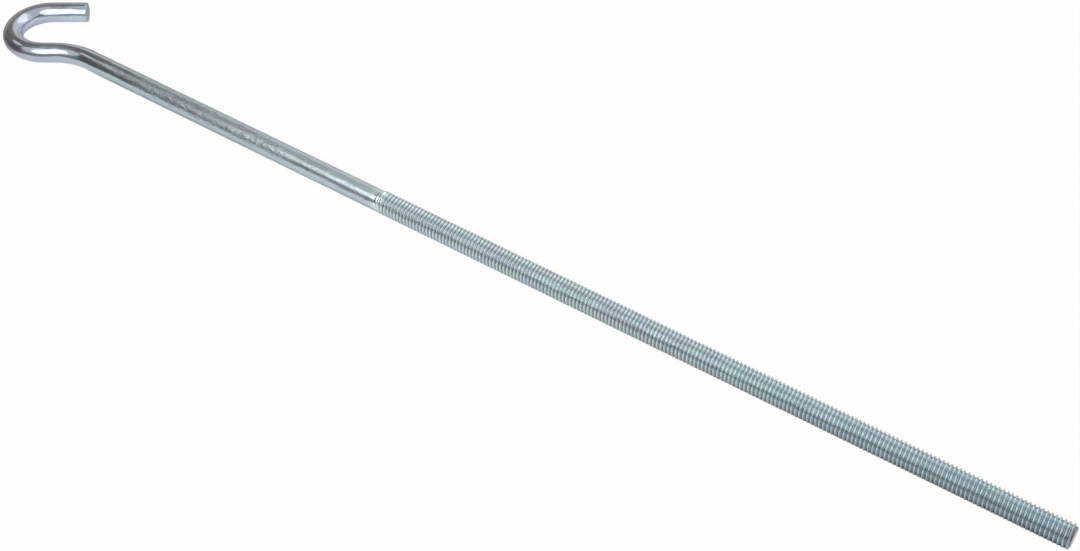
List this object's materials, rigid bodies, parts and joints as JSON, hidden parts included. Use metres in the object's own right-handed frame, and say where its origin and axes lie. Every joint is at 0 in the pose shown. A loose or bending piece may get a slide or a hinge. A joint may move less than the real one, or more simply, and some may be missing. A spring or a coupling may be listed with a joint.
{
  "type": "turnbuckle hook",
  "caption": "Long steel rod with an open hook at one end and a right-hand thread at the other, which screws into a turnbuckle body to pull on a ring or an eye.",
  "frame": {"origin": "on the rod's axis, at the flat of the threaded end", "axes": "+X along the rod, out of the threaded end, so the hook is at -X; the hook's bends lie in the XY plane, its mouth opens towards +X and +Y; +Z is square to the hook, up as it lies on a surface"},
  "size_m": [0.4958, 0.0437, 0.0092],
  "materials": {
    "zinc_plated_steel": "bright zinc plate over drawn and roll-threaded steel, with faint bluish and lilac tints and drawing streaks"
  },
  "bodies": {
    "root": {"hook_rod": "zinc_plated_steel"}
  },
  "joints": []
}
